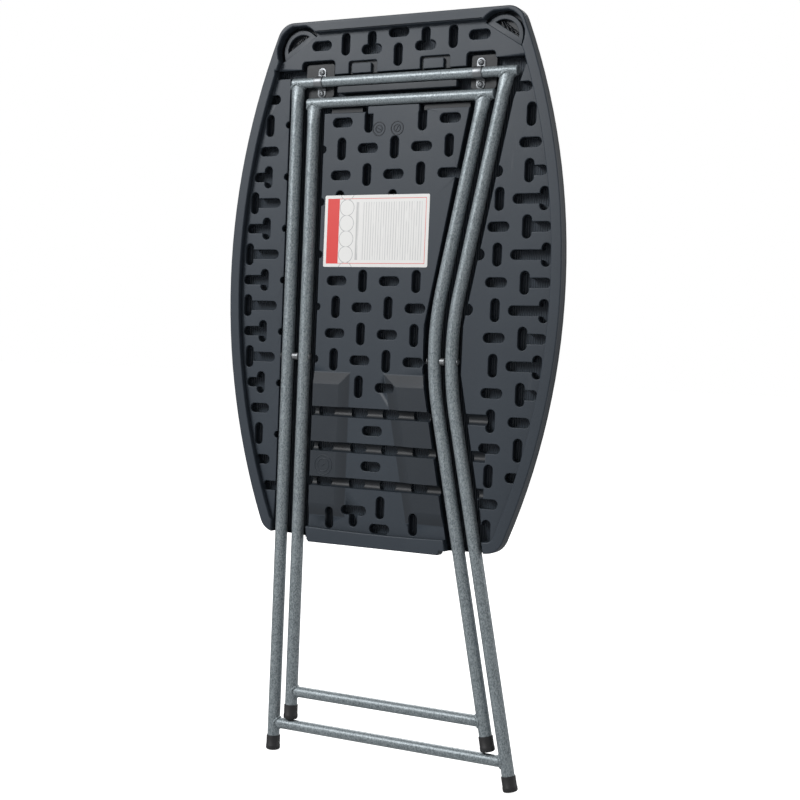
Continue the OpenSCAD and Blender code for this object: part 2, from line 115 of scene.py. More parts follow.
def makeBackdrop():
    # bright for the camera only, so it looks white and gives little light
    world = bpy.data.worlds.new("studio")
    world.use_nodes = True
    tree = world.node_tree
    rays = tree.nodes.new("ShaderNodeLightPath")
    strength = tree.nodes.new("ShaderNodeMapRange")
    strength.inputs["To Min"].default_value = room["given"]
    strength.inputs["To Max"].default_value = room["seen"]
    tree.links.new(rays.outputs["Is Camera Ray"], strength.inputs["Value"])
    tree.nodes["Background"].inputs[0].default_value = (1, 1, 1, 1)
    tree.links.new(strength.outputs[0], tree.nodes["Background"].inputs[1])
    bpy.context.scene.world = world
    bpy.context.scene.view_settings.view_transform = "Standard"


def makeFloor():
    # pale paper that glows for the camera only
    half = room["floorHalf"]
    mesh = bpy.data.meshes.new("floor")
    mesh.from_pydata([(-half, -half, 0), (half, -half, 0), (half, half, 0), (-half, half, 0)],
                     [], [(0, 1, 2, 3)])
    floor = bpy.data.objects.new("floor", mesh)
    bpy.context.scene.collection.objects.link(floor)
    paper = bpy.data.materials.new("paperFloor")
    paper.use_nodes = True
    tree = paper.node_tree
    shader = tree.nodes["Principled BSDF"]
    shader.inputs["Base Color"].default_value = (room["shade"],) * 3 + (1,)
    shader.inputs["Roughness"].default_value = room["roughness"]
    shader.inputs["Emission Color"].default_value = (1, 1, 1, 1)
    rays = tree.nodes.new("ShaderNodeLightPath")
    glow = tree.nodes.new("ShaderNodeMath")
    glow.operation = "MULTIPLY"
    glow.inputs[1].default_value = room["floorGlow"]
    tree.links.new(rays.outputs["Is Camera Ray"], glow.inputs[0])
    tree.links.new(glow.outputs[0], shader.inputs["Emission Strength"])
    mesh.materials.append(paper)


makeCamera()
makeLamps()
makeBackdrop()
makeFloor()
print("camera, lamps and floor set")


class Val:
    # one number socket, so that sums on it add Math nodes
    def __init__(self, graph, socket):
        self.graph = graph
        self.socket = socket

    def sum(self, kind, other=None, swap=False):
        pair = [self, other]
        if swap:
            pair = [other, self]
        node = self.graph.nodes.new("ShaderNodeMath")
        node.operation = kind
        for slot, item in enumerate(pair):
            if isinstance(item, Val):
                self.graph.links.new(item.socket, node.inputs[slot])
            elif item is not None:
                node.inputs[slot].default_value = item
        return Val(self.graph, node.outputs[0])

    def __add__(self, other): return self.sum("ADD", other)
    def __radd__(self, other): return self.sum("ADD", other)
    def __sub__(self, other): return self.sum("SUBTRACT", other)
    def __rsub__(self, other): return self.sum("SUBTRACT", other, swap=True)
    def __mul__(self, other): return self.sum("MULTIPLY", other)
    def __rmul__(self, other): return self.sum("MULTIPLY", other)
    def __truediv__(self, other): return self.sum("DIVIDE", other)
    def above(self, other): return self.sum("GREATER_THAN", other)
    def below(self, other): return self.sum("LESS_THAN", other)
    def most(self, other): return self.sum("MAXIMUM", other)
    def least(self, other): return self.sum("MINIMUM", other)
    def size(self): return self.sum("ABSOLUTE")
    def wave(self): return self.sum("SINE")
    def root(self): return self.sum("SQRT")
    def part(self): return self.sum("FRACT")     # what is left after the whole number


class Finish:
    # a material whose node tree is built by short calls
    def __init__(self, name):
        self.material = bpy.data.materials.new(name)
        self.material.use_nodes = True
        self.tree = self.material.node_tree
        self.shader = self.tree.nodes["Principled BSDF"]
        self.coords = self.tree.nodes.new("ShaderNodeTexCoord").outputs["Object"]

    def node(self, kind, settings=None, values=None):
        item = self.tree.nodes.new(kind)
        for key, setting in (settings or {}).items():
            setattr(item, key, setting)
        for key, value in (values or {}).items():
            self.feed(item.inputs[key], value)
        return item

    def feed(self, socket, value):
        if isinstance(value, Val):
            self.tree.links.new(value.socket, socket)
        elif isinstance(value, bpy.types.NodeSocket):
            self.tree.links.new(value, socket)
        else:
            socket.default_value = value

    def axes(self):
        split = self.node("ShaderNodeSeparateXYZ", values={0: self.coords})
        return [Val(self.tree, split.outputs[k]) for k in range(3)]

    def noise(self, scale, detail, rough, stretch=(1, 1, 1)):
        mapped = self.node("ShaderNodeMapping", values={"Vector": self.coords, "Scale": stretch})
        item = self.node("ShaderNodeTexNoise", values={
            "Vector": mapped.outputs[0], "Scale": scale, "Detail": detail, "Roughness": rough})
        return Val(self.tree, item.outputs["Fac"])

    def cells(self, scale):
        item = self.node("ShaderNodeTexVoronoi", {"feature": "F1"},
                         {"Vector": self.coords, "Scale": scale})
        return Val(self.tree, item.outputs["Distance"])

    def ramp(self, value, low, high):            # 0 at low, 1 at high, smooth between
        item = self.node("ShaderNodeMapRange", {"interpolation_type": "SMOOTHSTEP"},
                         {"Value": value, "From Min": low, "From Max": high})
        return Val(self.tree, item.outputs[0])

    def blend(self, amount, first, second):
        item = self.node("ShaderNodeMix", {"data_type": "RGBA"})
        self.feed(item.inputs[0], amount)
        for slot, colour in ((6, first), (7, second)):
            self.feed(item.inputs[slot], (*colour, 1) if isinstance(colour, tuple) else colour)
        return item.outputs[2]

    def bump(self, height, distance, strength, over=None):
        values = {"Height": height, "Distance": distance, "Strength": strength}
        if over is not None:
            values["Normal"] = over
        return self.node("ShaderNodeBump", values=values).outputs[0]

    def set(self, **sockets):
        for key, value in sockets.items():
            self.feed(self.shader.inputs[key.replace("_", " ")], value)
        return self.material


def mouldedPlastic():
    look = {
        "dark": (0.022, 0.030, 0.041), "light": (0.036, 0.048, 0.063),
        # deep is the colour of the painted shade in slots, channels and at the foot of the rim's
        # inner wall
        "scuff": (0.12, 0.13, 0.14), "deep": (0.007, 0.009, 0.012),
        "shadeDeepAt": 0.006, "slotShadeShare": 0.9,       # depth of a slot where its painted shade is darkest
        # first two numbers: height and strength of the painted shade at the foot of the rim's inner
        # wall
        "footHeight": 0.006, "footShare": 0.6, "scuffShare": 0.25,
        "ribFrom": 0.010, "ribPitch": 0.0031, "ribDepth": 0.0006, "ribShare": 0.6,
        "grainDepth": 0.00022, "grainShare": 0.55,
    }
    f = Finish("mouldedPlastic")
    x, y = f.axes()[:2]
    cloud = f.noise(9, 4, 0.6)
    fine = f.noise(1500, 2, 0.6)
    grain = f.noise(420, 3, 0.55)
    shade = f.blend(cloud * 0.7 + fine * 0.3, look["dark"], look["light"])
    # painted shade: darker towards the floors of slots and channels, and where the rim's inner wall
    # meets the face
    depth = f.ramp(y, faceY + 0.0002, faceY + look["shadeDeepAt"]) \
        * f.ramp(y, backY - 0.008, backY - 0.010)
    foot = f.ramp(y, faceY - look["footHeight"], faceY - 0.0004) \
        * f.ramp(y, faceY - 0.0001, faceY - 0.0003)
    paintedShade = (depth * look["slotShadeShare"]).most(foot * look["footShare"])
    # paint the shade colour into the slots, channels and the rim wall's foot
    shade = f.blend(paintedShade, shade, look["deep"])
    rubs = f.ramp(f.noise(60, 5, 0.7, (1, 1, 0.12)), 0.66, 0.8) * look["scuffShare"]
    shade = f.blend(rubs, shade, look["scuff"])
    onFloors = f.ramp(y, faceY + look["ribFrom"], faceY + look["ribFrom"] + 0.0015)
    ribs = (x * (2 * math.pi / look["ribPitch"])).wave() * onFloors
    onBack = f.ramp(y, backY - 0.004, backY - 0.001)
    pebble = f.cells(520) * (onBack * 0.8 + 0.2)
    rough = 0.5 + (cloud - 0.5) * 0.16 + (fine - 0.5) * 0.1
    skin = grain * 0.35 + fine * 0.35 + pebble
    normal = f.bump(skin, look["grainDepth"], look["grainShare"])
    normal = f.bump(ribs, look["ribDepth"], look["ribShare"], normal)
    return f.set(Base_Color=shade, Roughness=rough, Normal=normal, IOR=1.49,
                 Specular_IOR_Level=0.42)


def hammerPaint():
    look = {
        "dark": (0.112, 0.136, 0.150), "mid": (0.325, 0.372, 0.396), "fleck": (0.66, 0.73, 0.76),
        "veins": 620, "dots": 900, "depth": 0.00035, "metal": 0.45, "lacquer": 0.3,
    }
    f = Finish("hammerPaint")
    cloud = f.noise(34, 4, 0.6)
    vein = f.noise(look["veins"], 4, 0.65, (1, 1, 0.6))
    dots = f.cells(look["dots"])
    shade = f.blend(f.ramp(vein, 0.32, 0.66), look["dark"], look["mid"])
    shade = f.blend(f.ramp(dots, 0.34, 0.1) * 0.35, shade, look["fleck"])
    shade = f.blend(f.ramp(cloud, 0.45, 0.8) * 0.3, shade, look["mid"])
    rough = 0.4 + vein * 0.14 + (cloud - 0.5) * 0.1
    normal = f.bump(vein + dots * 0.5, look["depth"], 0.5)
    return f.set(Base_Color=shade, Roughness=rough, Metallic=look["metal"], Normal=normal,
                 Coat_Weight=look["lacquer"], Coat_Roughness=0.3)


def zincPlate(name, tint):
    f = Finish(name)
    cloud = f.noise(90, 4, 0.6)
    brushed = f.noise(1200, 3, 0.6, (0.08, 1, 1))
    shade = f.blend(cloud, tuple(0.72 * part for part in tint), tint)
    rough = 0.36 + cloud * 0.12 + brushed * 0.1
    normal = f.bump(brushed + cloud, 0.0001, 0.4)
    return f.set(Base_Color=shade, Roughness=rough, Metallic=1.0, Normal=normal)


def capPlastic():
    look = {"dark": (0.008, 0.008, 0.009), "light": (0.022, 0.022, 0.024),
            "worn": (0.09, 0.09, 0.09), "wornHeight": 0.004}
    f = Finish("capPlastic")
    z = f.axes()[2]
    cloud = f.noise(60, 4, 0.6)
    fine = f.noise(1600, 3, 0.6)
    shade = f.blend(cloud, look["dark"], look["light"])
    worn = f.ramp(z, look["wornHeight"], 0.0) * 0.5
    shade = f.blend(worn * cloud, shade, look["worn"])
    rough = 0.46 + cloud * 0.2
    return f.set(Base_Color=shade, Roughness=rough, Normal=f.bump(fine, 0.0002, 0.4))


def labelFilm():
    look = {
        "white": (0.80, 0.80, 0.79), "band": (0.72, 0.055, 0.05), "grey": (0.42, 0.42, 0.43),
        "margin": 0.0042, "line": 0.0008, "bandEnd": 0.0215,
        "rings": 4, "ringX": 0.0325, "ringRadius": 0.0102, "ringLine": 0.00045,
        "ringMargin": 0.006,
        "firstRule": (0.0462, 0.0500), "rulesFrom": 0.0563, "rulePitch": 0.0036,
        "textMargin": 0.009,
    }
    low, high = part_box("care_label")
    f = Finish("labelFilm")
    x, z = f.axes()[::2]
    fromLeft = x - low.x
    fromTop = high.z - z
    edge = fromLeft.least(high.x - x).least(fromTop).least(z - low.z)
    margin = look["margin"]
    border = edge.above(margin) * edge.below(margin + look["line"])
    band = fromLeft.above(margin) * fromLeft.below(look["bandEnd"]) * edge.above(margin)
    shade = f.blend(band.most(border * 0.85), look["white"], look["band"])
    # plain rings beside the band, one above the other
    pitch = (high.z - low.z - 2 * look["ringMargin"]) / look["rings"]
    rowZ = (((fromTop - look["ringMargin"]) / pitch).part() - 0.5) * pitch
    ringX = fromLeft - look["ringX"]
    radius = (rowZ * rowZ + ringX * ringX).root()
    ring = (radius - look["ringRadius"]).size().below(look["ringLine"])
    # plain ruled lines, the first one stronger
    along = f.noise(120, 2, 0.5, (8, 1, 0.25))
    gap = look["textMargin"]
    inside = (high.x - x).above(gap) * fromTop.above(gap) * (z - low.z).above(gap)
    fromRules = fromLeft - look["rulesFrom"]
    stripe = (fromRules * (2 * math.pi / look["rulePitch"])).wave().above(0.45)
    rules = stripe * inside * fromRules.above(0) * f.ramp(along, 0.38, 0.44)
    start, end = look["firstRule"]
    first = fromLeft.above(start) * fromLeft.below(end) * inside * f.ramp(along, 0.36, 0.42)
    shade = f.blend((ring * 0.85).most(rules * 0.5).most(first * 0.7), shade, look["grey"])
    ripple = f.noise(28, 2, 0.5)
    return f.set(Base_Color=shade, Roughness=0.34 + ripple * 0.08,
                 Normal=f.bump(ripple, 0.0008, 0.25))


finishes = {
    "top_plastic": mouldedPlastic(),
    "tube_paint": hammerPaint(),
    "zinc": zincPlate("zincPlate", (0.27, 0.285, 0.30)),
    "rivet_steel": zincPlate("rivetSteel", (0.25, 0.26, 0.27)),
    "foot_plastic": capPlastic(),
    "label": labelFilm(),
}
print("finishes made:", ", ".join(finishes))


# distances in metres: points nearer than these are one point, thinner faces are dropped
weld = {"piece": 2e-7, "frame": 2e-6, "sliver": 1e-7}


def addPiece(name, verts, faces, body, slotName, replaced=()):
    # a cleaned mesh with its finish, riding on a body and standing for the replaced CAD nodes
    mesh = bpy.data.meshes.new(name)
    mesh.from_pydata([tuple(v) for v in verts], [], faces)
    mesh.update()
    work = bmesh.new()
    work.from_mesh(mesh)
    bmesh.ops.remove_doubles(work, verts=work.verts, dist=weld["piece"])
    bmesh.ops.dissolve_degenerate(work, dist=weld["sliver"], edges=work.edges)
    bmesh.ops.recalc_face_normals(work, faces=work.faces)
    work.to_mesh(mesh)
    work.free()
    mesh.materials.append(finishes[slotName])
    piece = bpy.data.objects.new(name, mesh)
    bpy.context.scene.collection.objects.link(piece)
    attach(piece, body)
    if replaced:
        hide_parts(*replaced)
    return piece


def smooth(piece, degrees=40):
    mesh = piece.data
    mesh.polygons.foreach_set("use_smooth", np.ones(len(mesh.polygons), dtype=bool))
    mesh.set_sharp_from_angle(angle=math.radians(degrees))


def gridFaces(rows, columns, wrapRows=False):
    # quads between neighbouring rows and columns, the last column joined to the first
    i = np.arange(rows if wrapRows else rows - 1)[:, None]
    j = np.arange(columns)[None, :]
    nextI, nextJ = (i + 1) % rows, (j + 1) % columns
    quads = np.stack([i * columns + j, i * columns + nextJ,
                      nextI * columns + nextJ, nextI * columns + j], axis=-1)
    return [tuple(quad) for quad in quads.reshape(-1, 4).tolist()]


def closedRows(rows, columns):
    # the same quads, with one polygon over the first row and one over the last
    ring = list(range(columns))
    last = (rows - 1) * columns
    return gridFaces(rows, columns) + [tuple(ring), tuple(last + k for k in reversed(ring))]


def rodMesh(path, across, wide, deep, sides):
    # path: points of the axis. across: unit vectors in the frame's plane. wide and deep: half
    # sizes of the round section in that plane and square to it, so
    # ring = path + cos * wide * across + sin * deep * Y. Both ends are closed.
    turn = np.linspace(0, 2 * math.pi, sides, endpoint=False)
    flat = np.cos(turn)[None, :, None] * (wide[:, None, None] * across[:, None, :])
    out = np.sin(turn)[None, :, None] * (deep[:, None, None] * np.array([0, 1.0, 0]))
    verts = (path[:, None, :] + flat + out).reshape(-1, 3)
    return verts, closedRows(len(path), sides)


def latheMesh(profile, base, axis, side, sides):
    # profile: rows of (height along axis, radius). A radius of 0 closes the end to a point.
    # point = base + height * axis + radius * (cos * side + sin * (axis x side))
    axis, side = np.array(axis, float), np.array(side, float)
    turn = np.linspace(0, 2 * math.pi, sides, endpoint=False)
    ring = np.cos(turn)[:, None] * side + np.sin(turn)[:, None] * np.cross(axis, side)
    height, radius = np.array(profile, float).T[:, :, None, None]
    verts = np.array(base) + height * axis + radius * ring[None]
    return verts.reshape(-1, 3), gridFaces(len(profile), sides)


shell = {
    "backRound": 0.0115, "backSteps": 8,         # the edge of the surface that things stand on
    "rimRound": 0.0016, "edgeRound": 0.0009, "edgeSteps": 3,
    "flatCos": 0.999, "wallCos": 0.3,            # the least Y share of a flat, the most of a wall
    "leastTurn": 0.3, "leastMiter": 0.6,         # points that turn more sharply stay, or reach less
    "rampTilt": 13.5, "rampBreak": 3.0,          # degrees: shallow ramps keep crisp borders
    "slack": 0.0005,                             # a face this near a named depth counts as on it
    "shadeAngle": 42, "shadeWeight": 90,
}


def weldedArrays(nodeName):
    # the frame's loose triangles with their doubles merged, as arrays of points and triangles
    work = bmesh.new()
    work.from_mesh(nodes[nodeName].data)
    bmesh.ops.remove_doubles(work, verts=work.verts, dist=weld["frame"])
    bmesh.ops.dissolve_degenerate(work, dist=weld["sliver"], edges=work.edges)
    bmesh.ops.triangulate(work, faces=work.faces)
    work.verts.index_update()
    points = np.array([v.co for v in work.verts])
    tris = np.array([[v.index for v in f.verts] for f in work.faces])
    work.free()
    return points, tris


def dropHollow(points, tris, low, high):
    # leaves out the closed hollow: islands of triangles that stay between the depths low and high
    label = np.arange(len(points))
    while True:
        least = label[tris].min(axis=1)
        fresh = label.copy()
        for corner in range(3):
            np.minimum.at(fresh, tris[:, corner], least)
        fresh = fresh[fresh]
        if (fresh == label).all():
            break
        label = fresh
    front = np.full(len(points), np.inf)
    back = np.full(len(points), -np.inf)
    np.minimum.at(front, label, points[:, 1])
    np.maximum.at(back, label, points[:, 1])
    hidden = (front[label] > low) & (back[label] < high)
    return tris[~hidden[tris[:, 0]]]


def edgeTwins(tris, count):
    # every triangle's three directed edges, as start points, end points and the triangle's number,
    # and the number of the triangle that has the same edge the other way, or -1
    starts = tris.reshape(-1)
    ends = np.roll(tris, -1, axis=1).reshape(-1)
    owner = np.repeat(np.arange(len(tris)), 3)
    key = starts.astype(np.int64) * count + ends
    twinKey = ends.astype(np.int64) * count + starts
    order = np.argsort(key)
    found = np.minimum(np.searchsorted(key[order], twinKey), len(key) - 1)
    twin = np.where(key[order][found] == twinKey, owner[order][found], -1)
    return starts, ends, owner, twin


def roundEdges(points, tris, facing, radius, steps, depths):
    # Rounds the outer edges of the flat regions between two depths that face along Y (facing is
    # -1 or 1). radius gives each point's edge radius. A point of an edge becomes steps + 1 points:
    # point - out * r * (1 - sin t) + inward * r * (1 - cos t), with t from 0 to a right angle.
    corner = points[tris]
    normal = np.cross(corner[:, 1] - corner[:, 0], corner[:, 2] - corner[:, 0])
    normal = normal / np.maximum(np.linalg.norm(normal, axis=1), 1e-20)[:, None]
    flat = (normal[:, 1] * facing > shell["flatCos"]) \
        & (depths[0] < corner[:, :, 1].min(axis=1)) & (corner[:, :, 1].max(axis=1) < depths[1])
    count = len(points)
    starts, ends, owner, twin = edgeTwins(tris, count)
    wall = np.abs(normal[twin, 1]) < shell["wallCos"]
    deeper = (corner.mean(axis=1)[twin, 1] - points[starts, 1]) * facing < -1e-6
    edge = np.nonzero(flat[owner] & (twin >= 0) & wall & deeper)[0]
    a, b = starts[edge], ends[edge]
    out = np.cross(points[b] - points[a], normal[owner[edge]])
    out = out / np.linalg.norm(out, axis=1)[:, None]
    total, seen = np.zeros((count, 3)), np.zeros(count, int)
    for end in (a, b):
        np.add.at(total, end, out)
        np.add.at(seen, end, 1)
    size = np.linalg.norm(total, axis=1)
    reach = np.where((seen == 2) & (size > shell["leastTurn"]), radius, 0.0)
    miter = total / (np.maximum(size, 1e-9) * np.maximum(size / 2, shell["leastMiter"]))[:, None]
    used = np.unique(np.concatenate([a, b]))
    place = np.full(count, -1)
    place[used] = np.arange(len(used))
    turn = np.linspace(0, math.pi / 2, steps + 1)[:, None]
    fallBack = (reach[used] * (1 - np.sin(turn)))[..., None]
    sink = (reach[used] * (1 - np.cos(turn)))[..., None] * np.array([0, -facing, 0])
    rings = points[used] - miter[used] * fallBack + sink
    # the flat region keeps the first ring, what lies beyond the edge takes the last one
    firstRing = np.where(place >= 0, count + place, np.arange(count))
    lastRing = np.where(place >= 0, count + steps * len(used) + place, np.arange(count))
    newTris = np.where(flat[:, None], firstRing[tris], lastRing[tris])
    first = np.arange(steps)[:, None] * len(used) + count
    pa, pb = first + place[a], first + place[b]
    strips = np.stack([pb, pa, pa + len(used), pb + len(used)], axis=-1).reshape(-1, 4)
    halves = np.concatenate([strips[:, [0, 1, 2]], strips[:, [0, 2, 3]]])
    return np.concatenate([points, rings.reshape(-1, 3)]), np.concatenate([newTris, halves])


def creaseRamps(mesh):
    # marks the edges between faces that both lie nearly flat to the front but tilt differently
    normals = np.empty(len(mesh.polygons) * 3)
    mesh.polygons.foreach_get("normal", normals)
    normals = normals.reshape(-1, 3)
    flat = -normals[:, 1] > math.cos(math.radians(shell["rampTilt"]))
    edgeOf = np.empty(len(mesh.loops), dtype=int)
    mesh.loops.foreach_get("edge_index", edgeOf)
    corners = np.empty(len(mesh.polygons), dtype=int)
    mesh.polygons.foreach_get("loop_total", corners)
    owner = np.repeat(np.arange(len(mesh.polygons)), corners)
    order = np.argsort(edgeOf, kind="stable")
    edges, owner = edgeOf[order], owner[order]
    pair = np.nonzero(edges[1:] == edges[:-1])[0]
    one, two = owner[pair], owner[pair + 1]
    breaks = math.cos(math.radians(shell["rampBreak"]))
    turned = (normals[one] * normals[two]).sum(axis=1) < breaks
    sharp = np.empty(len(mesh.edges), dtype=bool)
    mesh.edges.foreach_get("use_edge_sharp", sharp)
    sharp[edges[pair][flat[one] & flat[two] & turned]] = True
    mesh.edges.foreach_set("use_edge_sharp", sharp)


def makeTop():
    slack = shell["slack"]
    points, tris = weldedArrays("tabletop")
    tris = dropHollow(points, tris, faceY + slack, backY - slack)
    radius = np.where(points[:, 1] < rimY + slack, shell["rimRound"], shell["edgeRound"])
    points, tris = roundEdges(points, tris, -1, radius, shell["edgeSteps"],
                              (rimY - slack, backY - slack))
    radius = np.full(len(points), shell["backRound"])
    points, tris = roundEdges(points, tris, 1, radius, shell["backSteps"],
                              (backY - slack, backY + slack))
    piece = addPiece("mouldedTop", points, tris.tolist(), "top", "top_plastic", ["tabletop"])
    smooth(piece, shell["shadeAngle"])
    creaseRamps(piece.data)
    weighted = piece.modifiers.new("evenShading", "WEIGHTED_NORMAL")
    weighted.keep_sharp = True
    weighted.weight = shell["shadeWeight"]
    print("moulded top:", len(tris), "triangles")


makeTop()


def surfaceDepth(x, z):
    # y of the moulded top's front surface over the point (x, z), from the triangle that covers it
    points, tris = weldedArrays("tabletop")
    a, b, c = (points[tris[:, k]] for k in range(3))
    spot = np.array([x, z])

    def area(p, q, r):
        return (q[..., 0] - p[..., 0]) * (r[..., 1] - p[..., 1]) \
            - (q[..., 1] - p[..., 1]) * (r[..., 0] - p[..., 0])
    a2, b2, c2 = a[:, [0, 2]], b[:, [0, 2]], c[:, [0, 2]]
    whole = area(a2, b2, c2)
    good = np.abs(whole) > 1e-12
    whole = np.where(good, whole, 1)
    u, v = area(spot, b2, c2) / whole, area(a2, spot, c2) / whole
    w = 1 - u - v
    inside = good & (u >= 0) & (v >= 0) & (w >= 0)
    return (u * a[:, 1] + v * b[:, 1] + w * c[:, 1])[inside].min()


marks = {                                        # rings: x, z, radius. Bars: x, z, turn
    "rings": [(-0.084, 0.377, 0.0125), (-0.084, 0.377, 0.0082),
              (-0.023, 0.805, 0.0085), (0.003, 0.805, 0.0085),
              (-0.023, 0.805, 0.0045), (0.003, 0.805, 0.0045)],
    "bars": [(-0.084, 0.377, 40), (-0.023, 0.805, -30), (0.003, 0.805, 65)],
    "high": 0.00045, "wide": 0.0008, "barHalf": 0.0036,
    "sunk": 0.4,                                 # radians of the ridge's round under the surface
    "ringSteps": 9, "ringSides": 40, "barSteps": 7, "barSides": 12,
}


def joinMeshes(parts):
    # several (points, faces) pairs as one pair
    points, faces, start = [], [], 0
    for partPoints, partFaces in parts:
        points.append(np.asarray(partPoints, float))
        faces += [tuple(k + start for k in face) for face in partFaces]
        start += len(partPoints)
    return np.concatenate(points), faces


def makeMarks():
    # low rings and bars in place of the mould's own marks. Ring: a half-round ridge turned
    # round the axis -Y. Bar: a rod of the same ridge with both ends closed.
    parts = []
    for x, z, r in marks["rings"]:
        base = (x, surfaceDepth(x, z), z)
        ridge = [(marks["high"] * math.sin(t), r + marks["wide"] * math.cos(t))
                 for t in np.linspace(-marks["sunk"], math.pi + marks["sunk"], marks["ringSteps"])]
        parts.append(latheMesh(ridge + ridge[:1], base, (0, -1, 0), (1, 0, 0),
                               marks["ringSides"]))
    steps = marks["barSteps"]
    for x, z, turn in marks["bars"]:
        along = np.array([math.cos(math.radians(turn)), 0, math.sin(math.radians(turn))])
        path = np.array([x, surfaceDepth(x, z), z]) \
            + np.linspace(-1, 1, steps)[:, None] * marks["barHalf"] * along
        side = np.tile(np.cross([0, 1.0, 0], along), (steps, 1))
        slim = np.sqrt(1 - np.linspace(-0.98, 0.98, steps) ** 4)
        parts.append(rodMesh(path, side, marks["wide"] * slim, marks["high"] * slim,
                             marks["barSides"]))
    smooth(addPiece("mouldMarks", *joinMeshes(parts), "top", "top_plastic"), 50)


makeMarks()


# Tubes, bends and welds of both folding frames
tubes = {
    "bendRadius": 0.386, "leanUp": 11.1, "leanDown": 11.9,   # of the right-hand legs, degrees
    "bends": {"outer": (0.0839, 0.5246), "inner": (0.0601, 0.5293)},
    "flareLength": 0.024, "flareWide": 1.17, "flareDeep": 0.78,  # upper ends, crushed to weld
    "endRound": 0.0012, "plugWall": 0.0018, "plugDepth": 0.0006, "sides": 40,
    "footGap": 0.004, "flareFrom": 0.0295, "legSteps": 90, "flareSteps": 26,
    "bead": 0.0017, "beadRipple": 0.0005, "beadSteps": 72, "beadSides": 12, "beadDrops": 9,
}
bars = {kind: [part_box(kind + "_top_bar"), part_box(kind + "_crossbar")] for kind in tubes["bends"]}
crossRadius = (bars["inner"][1][1].z - bars["inner"][1][0].z) / 2


def legAxis(kind, side, z):
    # x and lean (radians) of a leg's axis at the heights z. A left leg is straight. A right leg
    # is two straight stretches joined by an arc, which would meet at the bend's point.
    z = np.asarray(z, float)
    if side == "left":
        low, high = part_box(kind + "_left_leg")
        return np.full(z.shape, (low.x + high.x) / 2), np.zeros(z.shape)
    up, down = math.radians(tubes["leanUp"]), math.radians(tubes["leanDown"])
    radius = tubes["bendRadius"]
    bx, bz = tubes["bends"][kind]
    reach = radius / math.cos((up + down) / 2)
    cx, cz = bx + reach * math.cos((down - up) / 2), bz + reach * math.sin((down - up) / 2)
    inArc = np.clip((z - cz) / radius, -math.sin(down), math.sin(up))
    x = cx - radius * np.sqrt(1 - inArc ** 2)
    x = np.where(z > cz + radius * math.sin(up), bx + (z - bz) * math.tan(up), x)
    x = np.where(z < cz - radius * math.sin(down), bx + (bz - z) * math.tan(down), x)
    return x, np.arcsin(inArc)


def makeLeg(kind, side):
    # ring = axis + cos * wide * across + sin * deep * Y. Near the bar the tube is crushed: wide
    # grows and deep shrinks with the same smooth step.
    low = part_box(f"{kind}_{side}_leg")[0]
    barZ = (bars[kind][0][0].z + bars[kind][0][1].z) / 2
    flareZ = barZ - tubes["flareFrom"]
    z = np.concatenate([np.linspace(low.z + tubes["footGap"], flareZ - 0.0005, tubes["legSteps"]),
                        np.linspace(flareZ, barZ, tubes["flareSteps"])])
    x, lean = legAxis(kind, side, z)
    share = np.clip(1 - (barZ - barRadius - z) / tubes["flareLength"], 0, 1)
    share = share * share * (3 - 2 * share)
    wide = legRadius * (1 + share * (tubes["flareWide"] - 1))
    deep = legRadius * (1 + share * (tubes["flareDeep"] - 1))
    path = np.stack([x, np.full(z.shape, faceY), z], axis=1)
    across = np.stack([np.cos(lean), 0 * z, -np.sin(lean)], axis=1)
    smooth(addPiece(f"{kind}{side.capitalize()}Leg",
                    *rodMesh(path, across, wide, deep, tubes["sides"]),
                    kind + "_frame", "tube_paint", [f"{kind}_{side}_leg"]))


def roundRod(x0, x1, z, radius):
    # a rod along X whose end edges are rounded, both ends closed with a shallow plug
    e, plug = tubes["endRound"], x0 + tubes["plugDepth"]
    wall = radius - tubes["plugWall"]
    start = [(plug, 0), (plug, wall - 0.0004), (x0, wall)]
    start += [(x0 + e - e * math.cos(t), radius - e + e * math.sin(t))
              for t in np.linspace(0, math.pi / 2, 5)]
    finish = [(x0 + x1 - h, r) for h, r in reversed(start)]
    long = [(x0 + (x1 - x0) * k / 12, radius) for k in range(1, 12)]
    return latheMesh(start + long + finish, (0, faceY, z), (1, 0, 0), (0, 0, 1), tubes["sides"])


def makeBars(kind):
    low, high = bars[kind][0]
    mesh = roundRod(low.x, high.x, (low.z + high.z) / 2, barRadius)
    smooth(addPiece(kind + "TopBar", *mesh, kind + "_frame", "tube_paint", [kind + "_top_bar"]))
    low, high = bars[kind][1]
    z = (low.z + high.z) / 2
    x0, x1 = (float(legAxis(kind, side, z)[0]) for side in ("left", "right"))
    mesh = roundRod(x0, x1, z, crossRadius)
    smooth(addPiece(kind + "Crossbar", *mesh, kind + "_frame", "tube_paint",
                    [kind + "_crossbar"]))


def loopTube(path, phase):
    # a closed tube round a loop of points: ring = point + r * (cos * outward + sin * square),
    # where r ripples along the loop as a weld's overlapping drops do
    along = np.roll(path, -1, axis=0) - np.roll(path, 1, axis=0)
    along /= np.linalg.norm(along, axis=1)[:, None]
    out = path - path.mean(axis=0)
    out -= along * (out * along).sum(axis=1)[:, None]
    out /= np.linalg.norm(out, axis=1)[:, None]
    square = np.cross(along, out)
    t = np.arange(len(path)) / len(path) * 2 * math.pi
    drops = np.abs(np.sin(t * tubes["beadDrops"] + phase)) - 0.5 + 0.6 * np.sin(2 * t + 3 * phase)
    r = tubes["bead"] + tubes["beadRipple"] * drops
    sides = tubes["beadSides"]
    turn = np.linspace(0, 2 * math.pi, sides, endpoint=False)[None, :, None]
    ring = np.cos(turn) * out[:, None] + np.sin(turn) * square[:, None]
    verts = (path[:, None] + r[:, None, None] * ring).reshape(-1, 3)
    return verts, gridFaces(len(path), sides, wrapRows=True)


